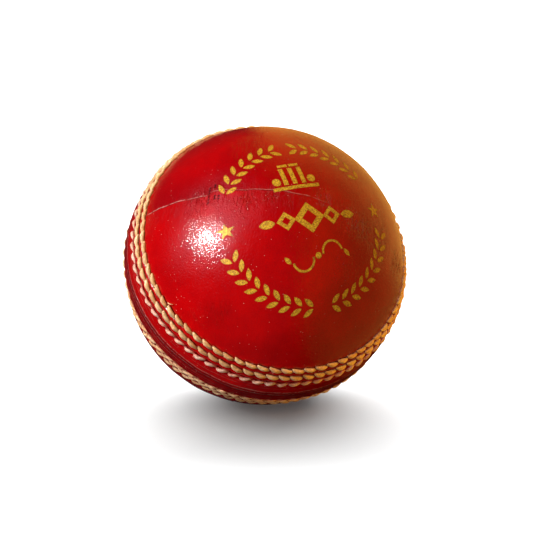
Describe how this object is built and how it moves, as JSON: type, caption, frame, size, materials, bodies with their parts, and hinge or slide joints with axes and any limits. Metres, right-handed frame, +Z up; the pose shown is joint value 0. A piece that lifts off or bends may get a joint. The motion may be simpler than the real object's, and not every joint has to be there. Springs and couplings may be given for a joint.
{
  "type": "cricket ball",
  "caption": "Hard red leather cricket ball with a raised sewn seam, a wound cork and yarn core and a gold foil ornament on one side.",
  "frame": {"origin": "centre of the ball", "axes": "+Z up as the ball lies; the stamped pole points to -Y and +Z, 40 degrees above the horizontal, and the joint of the two leather cups is the plane through the origin square to it; +X runs along that joint to the right, seen from the front"},
  "size_m": [0.0732, 0.072, 0.072],
  "materials": {
    "red_leather": "gloss",
    "cream_thread": "matte",
    "white_thread": "matte",
    "waxed_thread": "satin",
    "gold_foil": "satin",
    "lining_leather": "matte",
    "wool_yarn": "matte",
    "cork": "matte",
    "cork_rubber": "matte"
  },
  "bodies": {
    "root": {"nucleus": "cork_rubber", "inner_yarn_winding": "wool_yarn", "middle_yarn_winding": "wool_yarn", "outer_yarn_winding": "wool_yarn", "inner_cork_layer": "cork", "outer_cork_layer": "cork", "stamped_cup_upper_quarter": "red_leather", "stamped_cup_lower_quarter": "red_leather", "plain_cup_left_quarter": "red_leather", "plain_cup_right_quarter": "red_leather", "stamped_cup_blind_stitches": "waxed_thread", "plain_cup_blind_stitches": "waxed_thread", "stamped_cup_seam_lining": "lining_leather", "plain_cup_seam_lining": "lining_leather", "closing_thread_ties": "white_thread", "stamped_side_inner_stitches": "white_thread", "plain_side_inner_stitches": "white_thread", "stamped_side_middle_stitches": "cream_thread", "stamped_side_outer_stitches": "cream_thread", "plain_side_middle_stitches": "cream_thread", "plain_side_outer_stitches": "cream_thread", "foil_wreath": "gold_foil", "foil_stars": "gold_foil", "foil_emblem": "gold_foil"}
  },
  "joints": []
}
